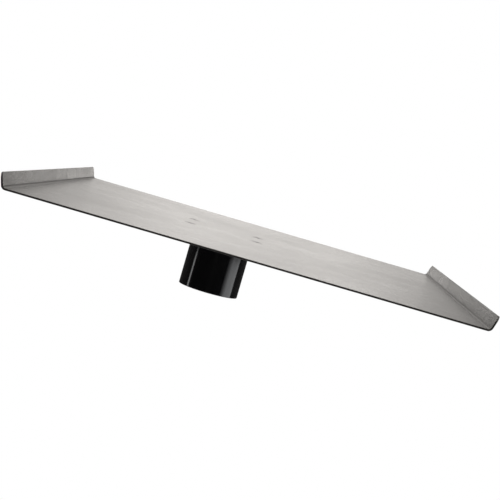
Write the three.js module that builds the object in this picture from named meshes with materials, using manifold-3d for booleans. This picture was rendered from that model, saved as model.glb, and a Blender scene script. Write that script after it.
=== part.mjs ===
// A tethering table: a folded sheet-metal tray with two leaning lips, for use beside a camera.
// A round boss under the tray slips over a lighting stand's stud and is locked with a knob.
// Millimetres, +Z up. The origin is the centre of the socket's mouth, at the bottom of the boss.
// +X points to the user's lip. +Y runs along the tray, and the lock knob is on that side.

import * as THREE from "three";
import { mergeVertices } from "three/addons/utils/BufferGeometryUtils.js";
import Module from "manifold-3d";

const wasm = await Module();
wasm.setup();

const degrees = THREE.MathUtils.degToRad;

// Clearances
const seatGap = 0.1; // the paint film between faces that are clamped together
const fitGap = 0.3; // round a piece that sits in a hole or recess
const overrun = 1; // how far a cutter runs past the face that it opens

// Tray: one folded sheet
const trayLength = 490; // along Y
const trayDepth = 378; // along X, between the outer corners of the two bends
const sheetThickness = 1.5;
const lipHeight = 13; // along its slope, from the outer corner of the bend
const lipLean = degrees(17); // outward from upright
const bendInsideRadius = 2.5;
const sheetCornerRadius = 6;
const trayOffset = 28; // from the boss's axis to the middle of the tray

// Flange plate between the tray and the boss
const flangeDiameter = 120;
const flangeThickness = 4;
const flangeEdge = 0.6; // chamfer

// Boss with its blind bore
const bossDiameter = 55;
const bossHeight = 51;
const bossEdge = 0.5; // chamfer round the mouth end
const bossWeb = 4.5; // solid metal left above the bore

// Socket bushing for a stud of 5/8 inch, with a shoulder at the mouth, and its stop pad
const socketDiameter = 16.3;
const bushingWall = 3.85;
const bushingShoulderWidth = 4;
const bushingShoulderThickness = 3;
const bushingLeadIn = 1.2; // chamfer at the mouth
const stopPadThickness = 3;

// Countersunk screws that hold the flange plate on the boss
const screwCount = 4;
const firstScrewAngle = degrees(45);
const headLand = 0.4; // the straight rim of a countersunk head
const headRecess = 0.1; // how far a head lies below its surface
const bossScrewThread = 6;
const bossScrewHead = 11.5;
const bossScrewLength = 16;
const bossScrewSocket = 4; // across flats
const bossScrewSocketDepth = 2.2;
const tapEndGap = 1.5; // empty thread below a screw's end
const screwEndShare = 0.1; // a screw end's chamfer, of its thread's diameter

// Countersunk screws, washers and lock nuts that hold the tray on the flange plate
const trayScrewThread = 5;
const trayScrewHead = 9.5;
const trayScrewSocket = 3;
const trayScrewSocketDepth = 1.8;
const trayScrewTail = 1.2; // how far the end stands out of its nut
const washerDiameter = 10;
const washerThickness = 1;
const nutAcrossFlats = 8;
const nutHexHeight = 3.4;
const nutCollarDiameter = 7.2;
const nutCollarHeight = 1.6;
const nutCrown = 0.35; // chamfer at the corners

// Threaded insert for the lock screw
const lockHeightShare = 0.45; // of the boss's height
const insertDiameter = 14;
const insertHeadDiameter = 19;
const insertHeadThickness = 2;
const insertEdge = 0.5;

// Lock screw with its thrust point and swivelling thrust pad
const lockThread = 8;
const lockPitch = 1.25;
const threadDepth = 0.7;
const tightenTurns = 3; // from rest until the knob meets the insert
const knobEndGap = 0.4; // left between them then
const padDiameter = 6.6;
const padRetract = 0.5; // from the socket's wall to the pad's face at rest
const padFace = 1.3;
const padLip = 0.9;
const padEdge = 0.4;
const pointNeckDiameter = 3;
const pointHeadDiameter = 4.4;
const pointHeadLength = 2.2;
const pointShoulderGap = 0.6; // between the pad and the screw's shoulder

// Lobed knob
const knobDiameter = 38;
const knobLobes = 5;
const knobLobeDepth = 4;
const knobGripLength = 15;
const knobEdge = 2; // rounding of the grip's edges
const knobHubDiameter = 17;
const knobHubLength = 8;
const hubInsertDiameter = 12;
const hubInsertLength = 14;
const hubInsertInset = 0.8; // from the hub's face
const studEngagement = 13; // of the screw in the knob
const capDiameter = 18;
const capPlate = 2.2;
const capDome = 0.8;
const capPlugLength = 2.5;
const capPlugDiameter = 11;

// Facets
const roundSides = 72;
const socketSides = 48;
const lockSides = 24;
const fastenerSides = 20;
const threadSides = 16;
const bendSteps = 8;
const cornerSteps = 6;
const lobeSteps = 10;
const edgeSteps = 3;
const hexSides = 6;
const mergeShare = 1e-7; // of the tray's length, closer than which points are one

// Levels above the socket's mouth, from the boss up to the top of the sheet
const flangeBottom = bossHeight + seatGap;
const flangeTop = flangeBottom + flangeThickness;
const sheetBottom = flangeTop + seatGap;
const trayTop = sheetBottom + sheetThickness;
const washerTop = flangeBottom - seatGap;
const nutTop = washerTop - washerThickness - seatGap;
const nutBottom = nutTop - nutHexHeight - nutCollarHeight;

// Radii in the boss, from the socket outward
const bossRadius = bossDiameter / 2;
const socketRadius = socketDiameter / 2;
const bushingRadius = socketRadius + bushingWall;
const bossBoreRadius = bushingRadius + fitGap;
const bossBoreDepth = bossHeight - bossWeb;
const bushingTop = bossBoreDepth - stopPadThickness - 2 * fitGap;
const shoulderRadius = bushingRadius + bushingShoulderWidth;

// The screws stand in the middle of the boss's wall, and halfway out on the bare flange
const bossScrewCircle = (bossBoreRadius + bossRadius) / 2;
const trayScrewCircle = (bossRadius + flangeDiameter / 2) / 2;

// Along the lock screw, measured from the boss's axis
const lockHeight = bossHeight * lockHeightShare;
const padFront = socketRadius + padRetract;
const pocketFront = padFront + padFace;
const pocketBack = pocketFront + pointHeadLength + 2 * fitGap;
const padBack = pocketBack + padLip;
const screwShoulder = padBack + pointShoulderGap;
const insertFront = bossBoreRadius + fitGap;
const insertHeadRadius = insertHeadDiameter / 2;
const spotFace = Math.sqrt(bossRadius ** 2 - (insertHeadRadius + fitGap) ** 2);
const insertHeadBack = spotFace + fitGap;
const insertEnd = insertHeadBack + insertHeadThickness;
const knobStart = insertEnd + tightenTurns * lockPitch + knobEndGap;
const gripStart = knobStart + knobHubLength;
const knobEnd = gripStart + knobGripLength;
const capSeat = knobEnd - capPlate;
const screwEnd = knobStart + studEngagement;
const threadEnd = knobStart + lockPitch;

// A closed mesh of three.js as a solid that can be cut and joined
function toSolid(geometry) {
  const plain = geometry.clone();
  plain.deleteAttribute("normal");
  plain.deleteAttribute("uv");
  const merged = mergeVertices(plain, trayLength * mergeShare);
  const index = merged.index.array;
  const triangles = [];
  for (let i = 0; i < index.length; i += 3) {
    const [a, b, c] = index.slice(i, i + 3);
    if (a !== b && b !== c && c !== a) {
      triangles.push(a, b, c);
    }
  }
  const mesh = new wasm.Mesh({
    numProp: 3,
    vertProperties: merged.attributes.position.array,
    triVerts: new Uint32Array(triangles),
  });
  return new wasm.Manifold(mesh);
}

function toGeometry(solid) {
  const mesh = solid.getMesh();
  const geometry = new THREE.BufferGeometry();
  geometry.setAttribute("position", new THREE.BufferAttribute(mesh.vertProperties, mesh.numProp));
  geometry.setIndex(new THREE.BufferAttribute(mesh.triVerts, 1));
  geometry.computeVertexNormals();
  return geometry;
}

// A solid of revolution about +Z. The outline is [radius, height] points, anticlockwise.
function revolve(outline, sides) {
  const points = outline.map(([radius, height]) => new THREE.Vector2(radius, height));
  points.push(points[0].clone());
  const geometry = new THREE.LatheGeometry(points, sides);
  geometry.rotateX(Math.PI / 2);
  return toSolid(geometry);
}

function cylinder(radius, bottom, top, sides) {
  const outline = [[0, bottom], [radius, bottom], [radius, top], [0, top]];
  return revolve(outline, sides);
}

// A hexagonal prism with flat sides facing +X and -X
function hexPrism(acrossFlats, bottom, top) {
  const cornerRadius = acrossFlats / 2 / Math.cos(Math.PI / hexSides);
  const geometry = new THREE.CylinderGeometry(cornerRadius, cornerRadius, top - bottom, hexSides);
  geometry.rotateY(Math.PI / hexSides);
  geometry.rotateX(Math.PI / 2);
  geometry.translate(0, 0, (top + bottom) / 2);
  return toSolid(geometry);
}

function moved(solid, x, y, z) {
  return solid.translate([x, y, z]);
}

// A solid built along +Z, turned so that it points along +Y from the boss's axis at lock height
function alongLock(solid) {
  return moved(solid.rotate([-90, 0, 0]), 0, 0, lockHeight);
}

// The places of the screws on a circle round the boss's axis
function screwPlaces(radius) {
  const places = [];
  for (let i = 0; i < screwCount; i += 1) {
    const angle = firstScrewAngle + (i * 2 * Math.PI) / screwCount;
    places.push([radius * Math.cos(angle), radius * Math.sin(angle)]);
  }
  return places;
}

function cutAtPlaces(solid, cutter, places, level) {
  return places.reduce((rest, [x, y]) => rest.subtract(moved(cutter, x, y, level)), solid);
}

// A countersunk screw with a hexagon socket. The top of its head is at z = 0.
function countersunkScrew({ thread, head, length, socket, socketDepth }) {
  const neck = -headLand - (head - thread) / 2;
  const endEdge = thread * screwEndShare;
  const outline = [
    [0, -length],
    [thread / 2 - endEdge, -length],
    [thread / 2, -length + endEdge],
    [thread / 2, neck],
    [head / 2, -headLand],
    [head / 2, 0],
    [0, 0],
  ];
  const recess = hexPrism(socket, -socketDepth, overrun);
  return revolve(outline, fastenerSides).subtract(recess);
}

// The hole for that screw, with the head's top at z = 0 and the hole's end at -depth
function countersink(thread, head, depth) {
  const neck = -headLand - (head - thread) / 2;
  const outline = [
    [0, -depth],
    [thread / 2 + fitGap, -depth],
    [thread / 2 + fitGap, neck],
    [head / 2 + fitGap, -headLand],
    [head / 2 + fitGap, overrun],
    [0, overrun],
  ];
  return revolve(outline, fastenerSides);
}

// The sheet's section across X and Z, with z = 0 at the sheet's underside
function traySection() {
  const outerRadius = bendInsideRadius + sheetThickness;
  const turn = Math.PI / 2 - lipLean;
  const bendX = trayDepth / 2 - outerRadius * Math.tan(turn / 2);
  const tipX = trayDepth / 2 + lipHeight * Math.sin(lipLean);
  const tipZ = lipHeight * Math.cos(lipLean);
  const innerTipX = tipX - sheetThickness * Math.cos(lipLean);
  const innerTipZ = tipZ + sheetThickness * Math.sin(lipLean);
  const down = 1.5 * Math.PI;
  const shape = new THREE.Shape();
  shape.moveTo(-innerTipX, innerTipZ);
  shape.lineTo(-tipX, tipZ);
  shape.absarc(-bendX, outerRadius, outerRadius, Math.PI + lipLean, down, false);
  shape.absarc(bendX, outerRadius, outerRadius, down, 2 * Math.PI - lipLean, false);
  shape.lineTo(tipX, tipZ);
  shape.lineTo(innerTipX, innerTipZ);
  shape.absarc(bendX, outerRadius, bendInsideRadius, 2 * Math.PI - lipLean, down, true);
  shape.absarc(-bendX, outerRadius, bendInsideRadius, down, Math.PI + lipLean, true);
  return shape;
}

// What is cut off to round one top corner of the lip on the +X side, at the end that side names
function lipCornerCutter(side) {
  const end = trayLength / 2;
  const arcY = end - sheetCornerRadius;
  const arcH = lipHeight - sheetCornerRadius;
  const corner = new THREE.Shape();
  corner.moveTo(end, arcH);
  corner.absarc(arcY, arcH, sheetCornerRadius, 0, Math.PI / 2, false);
  corner.lineTo(arcY, lipHeight + overrun);
  corner.lineTo(end + overrun, lipHeight + overrun);
  corner.lineTo(end + overrun, arcH);
  const depth = sheetThickness + 2 * overrun;
  const options = { depth, bevelEnabled: false, curveSegments: cornerSteps };
  const geometry = new THREE.ExtrudeGeometry(corner, options);
  geometry.translate(0, 0, -sheetThickness - overrun);
  const along = new THREE.Vector3(0, 1, 0);
  const up = new THREE.Vector3(Math.sin(lipLean), 0, Math.cos(lipLean));
  const outward = new THREE.Vector3().crossVectors(along, up);
  geometry.applyMatrix4(new THREE.Matrix4().makeBasis(along, up, outward));
  geometry.translate(trayDepth / 2, 0, 0);
  const cutter = toSolid(geometry);
  return side > 0 ? cutter : cutter.mirror([0, 1, 0]);
}

function makeTray() {
  const options = { depth: trayLength, bevelEnabled: false, curveSegments: bendSteps };
  const geometry = new THREE.ExtrudeGeometry(traySection(), options);
  geometry.rotateX(Math.PI / 2);
  geometry.translate(0, trayLength / 2, 0);
  let sheet = toSolid(geometry);
  for (const side of [1, -1]) {
    const cutter = lipCornerCutter(side);
    sheet = sheet.subtract(cutter).subtract(cutter.mirror([1, 0, 0]));
  }
  const hole = countersink(trayScrewThread, trayScrewHead, sheetThickness + overrun);
  const places = screwPlaces(trayScrewCircle).map(([x, y]) => [x - trayOffset, y]);
  return cutAtPlaces(sheet, hole, places, sheetThickness - headRecess);
}

function makeFlangePlate() {
  const rim = flangeDiameter / 2;
  const outline = [
    [0, 0],
    [rim - flangeEdge, 0],
    [rim, flangeEdge],
    [rim, flangeThickness - flangeEdge],
    [rim - flangeEdge, flangeThickness],
    [0, flangeThickness],
  ];
  const plate = revolve(outline, roundSides);
  const through = flangeThickness + overrun;
  const bossHole = countersink(bossScrewThread, bossScrewHead, through);
  const headLevel = trayTop - headRecess - flangeBottom;
  const trayHole = countersink(trayScrewThread, trayScrewHead, headLevel + overrun);
  const drilled = cutAtPlaces(
    plate, bossHole, screwPlaces(bossScrewCircle), flangeThickness - headRecess);
  return cutAtPlaces(drilled, trayHole, screwPlaces(trayScrewCircle), headLevel);
}

function makeBoss() {
  const boreShoulder = bushingShoulderThickness + 2 * fitGap;
  const outline = [
    [shoulderRadius + fitGap, 0],
    [bossRadius - bossEdge, 0],
    [bossRadius, bossEdge],
    [bossRadius, bossHeight],
    [0, bossHeight],
    [0, bossBoreDepth],
    [bossBoreRadius, bossBoreDepth],
    [bossBoreRadius, boreShoulder],
    [shoulderRadius + fitGap, boreShoulder],
  ];
  const blank = revolve(outline, roundSides);
  const tapDepth = bossScrewLength - flangeThickness - seatGap + tapEndGap;
  const tap = cylinder(bossScrewThread / 2 + fitGap, -tapDepth, overrun, fastenerSides);
  const tapped = cutAtPlaces(blank, tap, screwPlaces(bossScrewCircle), bossHeight);
  const crossHole = cylinder(
    insertDiameter / 2 + fitGap, socketRadius, bossRadius + overrun, lockSides);
  const seat = cylinder(
    insertHeadRadius + fitGap, spotFace, bossRadius + overrun, socketSides);
  return tapped.subtract(alongLock(crossHole)).subtract(alongLock(seat));
}

function makeBushing() {
  const outline = [
    [socketRadius + bushingLeadIn, fitGap],
    [shoulderRadius, fitGap],
    [shoulderRadius, fitGap + bushingShoulderThickness],
    [bushingRadius, fitGap + bushingShoulderThickness],
    [bushingRadius, bushingTop],
    [socketRadius, bushingTop],
    [socketRadius, fitGap + bushingLeadIn],
  ];
  const crossHole = cylinder(lockThread / 2 + fitGap, 0, bossRadius, lockSides);
  return revolve(outline, socketSides).subtract(alongLock(crossHole));
}

function makeStopPad() {
  return cylinder(bushingRadius, 0, stopPadThickness, socketSides);
}

function makeWasher() {
  const hole = trayScrewThread / 2 + fitGap;
  const rim = washerDiameter / 2;
  const outline = [[hole, 0], [rim, 0], [rim, washerThickness], [hole, washerThickness]];
  return revolve(outline, fastenerSides);
}

// A hexagon nut with the round collar of its locking ring below. Its top face is at z = 0.
function makeLockNut() {
  const cornerRadius = nutAcrossFlats / 2 / Math.cos(Math.PI / hexSides);
  const crown = [
    [0, -nutHexHeight],
    [cornerRadius - nutCrown, -nutHexHeight],
    [cornerRadius, nutCrown - nutHexHeight],
    [cornerRadius, -nutCrown],
    [cornerRadius - nutCrown, 0],
    [0, 0],
  ];
  const hex = hexPrism(nutAcrossFlats, -nutHexHeight, 0).intersect(revolve(crown, fastenerSides));
  const collarEnd = -nutHexHeight - nutCollarHeight;
  const rim = nutCollarDiameter / 2;
  const collar = [
    [0, collarEnd],
    [rim - nutCrown, collarEnd],
    [rim, collarEnd + nutCrown],
    [rim, -nutCrown],
    [0, -nutCrown],
  ];
  const bore = cylinder(trayScrewThread / 2 + fitGap, collarEnd - overrun, overrun, fastenerSides);
  return hex.add(revolve(collar, fastenerSides)).subtract(bore);
}

function makeLockInsert() {
  const bore = lockThread / 2 + fitGap;
  const outline = [
    [bore, insertFront],
    [insertDiameter / 2, insertFront],
    [insertDiameter / 2, insertHeadBack],
    [insertHeadRadius, insertHeadBack],
    [insertHeadRadius, insertEnd - insertEdge],
    [insertHeadRadius - insertEdge, insertEnd],
    [bore, insertEnd],
  ];
  return revolve(outline, socketSides);
}

function makeThrustPad() {
  const rim = padDiameter / 2;
  const neck = pointNeckDiameter / 2 + fitGap;
  const pocket = pointHeadDiameter / 2 + fitGap;
  const outline = [
    [0, padFront],
    [rim - padEdge, padFront],
    [rim, padFront + padEdge],
    [rim, padBack],
    [neck, padBack],
    [neck, pocketBack],
    [pocket, pocketBack],
    [pocket, pocketFront],
    [0, pocketFront],
  ];
  return revolve(outline, lockSides);
}

// A right-hand V thread, whose crest and root are helices. It runs past start and end.
function makeThread(start, end) {
  const crest = lockThread / 2;
  const root = crest - threadDepth;
  const rows = 2 * Math.ceil((end - start) / lockPitch) + 4;
  const positions = [];
  for (let column = 0; column < threadSides; column += 1) {
    const angle = (column * 2 * Math.PI) / threadSides;
    for (let row = 0; row < rows; row += 1) {
      const radius = row % 2 === 0 ? crest : root;
      const height = start + lockPitch * (row / 2 + column / threadSides - 1);
      positions.push(radius * Math.cos(angle), radius * Math.sin(angle), height);
    }
  }
  const startCentre = threadSides * rows;
  const endCentre = startCentre + 1;
  positions.push(0, 0, start - lockPitch / 2);
  positions.push(0, 0, start + lockPitch * (rows / 2 - 1));
  const index = [];
  // One turn on, a column meets the first column two rows up
  const at = (column, row) => (column < threadSides ? column * rows + row : row + 2);
  for (let column = 0; column < threadSides; column += 1) {
    const lastRow = column === threadSides - 1 ? rows - 3 : rows - 1;
    for (let row = 0; row < lastRow; row += 1) {
      const [a, b] = [at(column, row), at(column + 1, row)];
      const [c, d] = [at(column + 1, row + 1), at(column, row + 1)];
      index.push(a, b, c, a, c, d);
    }
    index.push(startCentre, at(column + 1, 0), at(column, 0));
    index.push(endCentre, at(column, lastRow), at(column + 1, lastRow));
  }
  const last = at(threadSides - 1, rows - 1);
  index.push(startCentre, 0, 1, startCentre, 1, 2);
  index.push(endCentre, last, last - 1, endCentre, last - 1, last - 2);
  const geometry = new THREE.BufferGeometry();
  geometry.setAttribute("position", new THREE.Float32BufferAttribute(positions, 3));
  geometry.setIndex(index);
  return toSolid(geometry);
}

// The thrust point, the threaded stretch, and a plain end that is moulded into the knob
function makeLockScrew() {
  const crest = lockThread / 2;
  const head = pointHeadDiameter / 2;
  const neck = pointNeckDiameter / 2;
  const headStart = pocketFront + fitGap;
  const headEnd = headStart + pointHeadLength;
  const point = [
    [0, headStart],
    [head - padEdge, headStart],
    [head, headStart + padEdge],
    [head, headEnd],
    [neck, headEnd],
    [neck, screwShoulder + threadDepth],
    [0, screwShoulder + threadDepth],
  ];
  const chamfered = [
    [0, screwShoulder],
    [crest - threadDepth, screwShoulder],
    [crest + threadDepth, screwShoulder + 2 * threadDepth],
    [crest + threadDepth, threadEnd],
    [0, threadEnd],
  ];
  const threaded = makeThread(screwShoulder, threadEnd).intersect(revolve(chamfered, lockSides));
  const plain = cylinder(crest, threadEnd - threadDepth, screwEnd, lockSides);
  return threaded.add(revolve(point, lockSides)).add(plain);
}

function knobOutline() {
  const shape = new THREE.Shape();
  const steps = knobLobes * lobeSteps;
  for (let i = 0; i < steps; i += 1) {
    const angle = (i * 2 * Math.PI) / steps;
    const radius = knobDiameter / 2 - (knobLobeDepth * (1 - Math.cos(knobLobes * angle))) / 2;
    const point = [radius * Math.sin(angle), radius * Math.cos(angle)];
    if (i === 0) {
      shape.moveTo(...point);
    } else {
      shape.lineTo(...point);
    }
  }
  return shape;
}

function makeKnobGrip() {
  const options = {
    depth: knobGripLength - 2 * knobEdge,
    bevelThickness: knobEdge,
    bevelSize: knobEdge,
    bevelOffset: -knobEdge,
    bevelSegments: edgeSteps,
  };
  const geometry = new THREE.ExtrudeGeometry(knobOutline(), options);
  geometry.translate(0, 0, gripStart + knobEdge);
  const hub = cylinder(knobHubDiameter / 2, knobStart, gripStart + knobEdge, socketSides);
  const bore = cylinder(hubInsertDiameter / 2 + fitGap, knobStart - overrun, knobEnd, lockSides);
  const recess = cylinder(
    capDiameter / 2 + fitGap, capSeat - fitGap, knobEnd + overrun, socketSides);
  return toSolid(geometry).add(hub).subtract(bore).subtract(recess);
}

function makeKnobInsert() {
  const start = knobStart + hubInsertInset;
  const bore = lockThread / 2 + fitGap;
  const rim = hubInsertDiameter / 2;
  const outline = [
    [bore, start],
    [rim, start],
    [rim, start + hubInsertLength],
    [bore, start + hubInsertLength],
  ];
  return revolve(outline, lockSides);
}

// A slightly domed cover with a plug behind it
function makeKnobCap() {
  const rim = capDiameter / 2;
  const plug = capPlugDiameter / 2;
  const sphere = (rim ** 2 + capDome ** 2) / (2 * capDome);
  const reach = Math.asin(rim / sphere);
  const outline = [
    [0, capSeat - capPlugLength],
    [plug, capSeat - capPlugLength],
    [plug, capSeat],
    [rim, capSeat],
  ];
  for (let i = 0; i <= edgeSteps; i += 1) {
    const angle = reach * (1 - i / edgeSteps);
    const height = knobEnd + capDome - sphere * (1 - Math.cos(angle));
    outline.push([sphere * Math.sin(angle), height]);
  }
  return revolve(outline, socketSides);
}

// Finishes
function finish(color, roughness, metalness) {
  return new THREE.MeshStandardMaterial({ color, roughness, metalness });
}

const wrinklePaint = finish(0x3a3938, 0.8, 0);
const satinPaint = finish(0x1b1b1c, 0.5, 0);
const glossPaint = finish(0x08080a, 0.12, 0);
const blackOxide = finish(0x1a1a1c, 0.42, 1);
const zincPlate = finish(0xb9bcbe, 0.35, 1);
const plainSteel = finish(0x9c9ea0, 0.3, 1);
const nylon = finish(0xd8d3c6, 0.5, 0);
const brass = finish(0xb8964f, 0.3, 1);
const knobPlastic = finish(0x141415, 0.55, 0);

function piece(name, solid, material, x = 0, y = 0, z = 0) {
  const mesh = new THREE.Mesh(toGeometry(solid), material);
  mesh.name = name;
  mesh.position.set(x, y, z);
  return mesh;
}

// One copy of a fastener on each screw's place, numbered from 1
function fasteners(name, solid, material, circle, level) {
  return screwPlaces(circle).map(([x, y], i) => piece(`${name}_${i + 1}`, solid, material, x, y, level));
}

const bossScrew = countersunkScrew({
  thread: bossScrewThread,
  head: bossScrewHead,
  length: bossScrewLength,
  socket: bossScrewSocket,
  socketDepth: bossScrewSocketDepth,
});
const trayScrew = countersunkScrew({
  thread: trayScrewThread,
  head: trayScrewHead,
  length: trayTop - headRecess - nutBottom + trayScrewTail,
  socket: trayScrewSocket,
  socketDepth: trayScrewSocketDepth,
});

const table = new THREE.Group();
table.add(
  piece("tray", makeTray(), wrinklePaint, trayOffset, 0, sheetBottom),
  piece("flange_plate", makeFlangePlate(), satinPaint, 0, 0, flangeBottom),
  piece("boss_body", makeBoss(), glossPaint),
  piece("socket_bushing", makeBushing(), plainSteel),
  piece("stop_pad", makeStopPad(), nylon, 0, 0, bushingTop + fitGap),
  ...fasteners("boss_screw", bossScrew, blackOxide, bossScrewCircle, flangeTop - headRecess),
  ...fasteners("tray_screw", trayScrew, blackOxide, trayScrewCircle, trayTop - headRecess),
  ...fasteners("tray_washer", makeWasher(), zincPlate, trayScrewCircle, washerTop - washerThickness),
  ...fasteners("tray_nut", makeLockNut(), zincPlate, trayScrewCircle, nutTop),
);

// The lock stands on the boss's +Y side. Its own +Z is the screw's axis, pointing outward.
const lock = new THREE.Group();
lock.position.set(0, 0, lockHeight);
lock.rotation.x = -Math.PI / 2;
const knob = new THREE.Group();
knob.add(
  piece("lock_screw", makeLockScrew(), zincPlate),
  piece("knob_grip", makeKnobGrip(), knobPlastic),
  piece("knob_insert", makeKnobInsert(), brass),
  piece("knob_cap", makeKnobCap(), knobPlastic),
);
lock.add(
  piece("lock_insert", makeLockInsert(), plainSteel),
  piece("thrust_pad", makeThrustPad(), brass),
  knob,
);

const group = new THREE.Group();
group.add(table, lock);

export default group;
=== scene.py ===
"""Dresses the tethering table: a folded tray, its boss with the stand's socket, and the lock knob.

Metres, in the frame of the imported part: +Z up, the socket's mouth at z = 0, the lock knob on +Y.
"""

import math

import bmesh
import bpy
from mathutils import Matrix, Vector


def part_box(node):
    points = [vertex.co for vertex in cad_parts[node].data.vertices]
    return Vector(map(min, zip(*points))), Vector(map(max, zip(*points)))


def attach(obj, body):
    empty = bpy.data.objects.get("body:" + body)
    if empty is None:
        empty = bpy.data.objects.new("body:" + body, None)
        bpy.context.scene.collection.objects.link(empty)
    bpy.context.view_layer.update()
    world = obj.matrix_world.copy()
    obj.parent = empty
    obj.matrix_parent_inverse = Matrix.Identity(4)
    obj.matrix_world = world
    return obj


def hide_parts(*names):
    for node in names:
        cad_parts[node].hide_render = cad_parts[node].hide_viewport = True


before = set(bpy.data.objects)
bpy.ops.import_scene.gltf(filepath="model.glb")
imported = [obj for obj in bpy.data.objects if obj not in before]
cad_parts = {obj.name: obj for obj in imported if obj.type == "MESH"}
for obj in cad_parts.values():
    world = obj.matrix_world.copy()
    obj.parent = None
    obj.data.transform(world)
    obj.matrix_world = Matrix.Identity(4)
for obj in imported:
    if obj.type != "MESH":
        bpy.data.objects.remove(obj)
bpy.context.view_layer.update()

MM = 0.001
TURN = 2 * math.pi
TINY = 0.01 * MM  # closer than which two places are the same
TINIEST = TINY / 10  # closer than which a corner lies on the plane of a cut

# Clearances and small edges
FIT = 0.3 * MM
OVERRUN = 1 * MM
BREAK = 0.2 * MM  # what a file takes off a machined edge

# The sheet: what the tray's box doesn't say
SHEET = 1.5 * MM
LIP_HEIGHT = 13 * MM  # along its slope, from the outer corner of the bend
LIP_LEAN = math.radians(17)  # outward from upright
BEND_INSIDE = 2.5 * MM
BEND_TURN = math.pi / 2 - LIP_LEAN
BEND_REACH = (BEND_INSIDE + SHEET) * math.tan(BEND_TURN / 2)  # from the bend's start to its outer corner
SHEET_CORNER = 6 * MM
SHEET_EDGE = 0.12 * MM
BEND_STEPS = 14
CORNER_STEPS = 12

# How many sides the round pieces and holes get
BOSS_SIDES = 192
PLATE_SIDES = 128
KNOB_SIDES = 96
SCREW_SIDES = 64
BORE_SIDES = 48
TAP_SIDES = 32
LOBE_SIDES = 40  # to each lobe of the knob

# Boss, bushing and flange
BOSS_EDGE = 0.5 * MM
BOSS_EDGE_STEPS = 5
BOSS_WEB = 4.5 * MM
FLANGE_EDGE = 0.6 * MM
SOCKET_RADIUS = 8.15 * MM
BUSHING_RADIUS = 12 * MM
LEAD_IN = 1.2 * MM
SHOULDER_HEIGHT = 3 * MM

# Fasteners: thread, head, hexagon socket across flats and its depth
BOSS_SCREW = {"thread": 6 * MM, "head": 11.5 * MM, "hexagon": 4 * MM, "depth": 2.2 * MM}
TRAY_SCREW = {"thread": 5 * MM, "head": 9.5 * MM, "hexagon": 3 * MM, "depth": 1.8 * MM}
SCREW_COUNT = 4
BOSS_SCREW_PITCH = 1 * MM
TRAY_SCREW_PITCH = 0.8 * MM
HEAD_LAND = 0.4 * MM
NUT_HEX_HEIGHT = 3.4 * MM
NUT_COLLAR_RADIUS = 3.6 * MM
NUT_CROWN = 0.35 * MM
NYLON_LIP = 0.5 * MM  # how far the nut's nylon ring stands in from its collar

# Lock screw, pad and knob
LOCK_PITCH = 1.25 * MM
LOCK_RADIUS = 4 * MM
INSERT_RADIUS = 7 * MM
INSERT_HEAD_THICKNESS = 2 * MM
POINT_NECK_RADIUS = 1.5 * MM
POINT_HEAD_RADIUS = 2.2 * MM
POINT_HEAD_LENGTH = 2.2 * MM
PAD_FACE = 1.3 * MM
PAD_LIP = 0.9 * MM
PAD_EDGE = 0.4 * MM
SCREW_SHOULDER_GAP = 0.6 * MM
KNOB_LOBES = 5
KNOB_LOBE_DEPTH = 4 * MM
KNOB_EDGE = 2 * MM
KNOB_HUB_RADIUS = 8.5 * MM
KNOB_HUB_LENGTH = 8 * MM
KNOB_HUB_EDGE = 0.8 * MM
KNOB_HUB_EDGE_STEPS = 4
KNOB_INSERT_RADIUS = 6 * MM
CAP_PLATE = 2.2 * MM
CAP_DOME = 0.8 * MM
CAP_DOME_STEPS = 12
CAP_PLUG_RADIUS = 5.5 * MM

# A thread's shape, as shares of its pitch
THREAD_DEPTH_SHARE = 0.54
FLANK_SHARE = 0.42
CREST_SHARE = 0.12
ROOT_SHARE = 0.04


def clear_selection():
    if bpy.context.mode != "OBJECT":
        bpy.ops.object.mode_set(mode="OBJECT")
    bpy.ops.object.select_all(action="DESELECT")


def pick(piece):
    """Makes a piece the only one that is selected."""
    clear_selection()
    piece.select_set(True)
    bpy.context.view_layer.objects.active = piece


def select_edges(piece, wanted):
    """In edit mode, selects just the edges whose two ends pass a test."""
    bpy.ops.mesh.select_mode(type="EDGE")
    bpy.ops.mesh.select_all(action="DESELECT")
    mesh = bmesh.from_edit_mesh(piece.data)
    for edge in mesh.edges:
        edge.select_set(all(wanted(vertex.co) for vertex in edge.verts))
    mesh.select_flush_mode()
    bmesh.update_edit_mesh(piece.data)


def apply_modifier(piece, kind, **settings):
    pick(piece)
    modifier = piece.modifiers.new(kind.lower(), kind)
    for name, value in settings.items():
        setattr(modifier, name, value)
    bpy.ops.object.modifier_apply(modifier=modifier.name)


def apply_place(piece):
    """Moves a piece's place, turn and size into its mesh."""
    pick(piece)
    bpy.ops.object.transform_apply(location=True, rotation=True, scale=True)


def started(name):
    """Names the primitive that was just added, and puts its place in its mesh."""
    piece = bpy.context.object
    piece.name = name
    apply_place(piece)
    return piece


def combine(piece, other, operation):
    apply_modifier(piece, "BOOLEAN", object=other, operation=operation, solver="EXACT")
    bpy.data.objects.remove(other)
    return piece


def cut(piece, cutter):
    return combine(piece, cutter, "DIFFERENCE")


def copy_of(piece, name, place):
    twin = piece.copy()
    twin.data = piece.data.copy()
    twin.name = name
    bpy.context.scene.collection.objects.link(twin)
    twin.location = place
    apply_place(twin)
    return twin


def middle_of(node):
    low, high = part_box(node)
    return (low + high) / 2


def top_of(node):
    """The middle of a node's top."""
    place = middle_of(node)
    place.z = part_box(node)[1].z
    return place


def bottom_of(node):
    place = middle_of(node)
    place.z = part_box(node)[0].z
    return place


def size_of(node):
    low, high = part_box(node)
    return high - low


def arc(centre, radius, start, end, steps):
    """Points of a round stretch of an outline, from one angle to another."""
    points = []
    for i in range(steps + 1):
        angle = start + (end - start) * i / steps
        points.append((centre[0] + radius * math.cos(angle), centre[1] + radius * math.sin(angle)))
    return points


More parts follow.
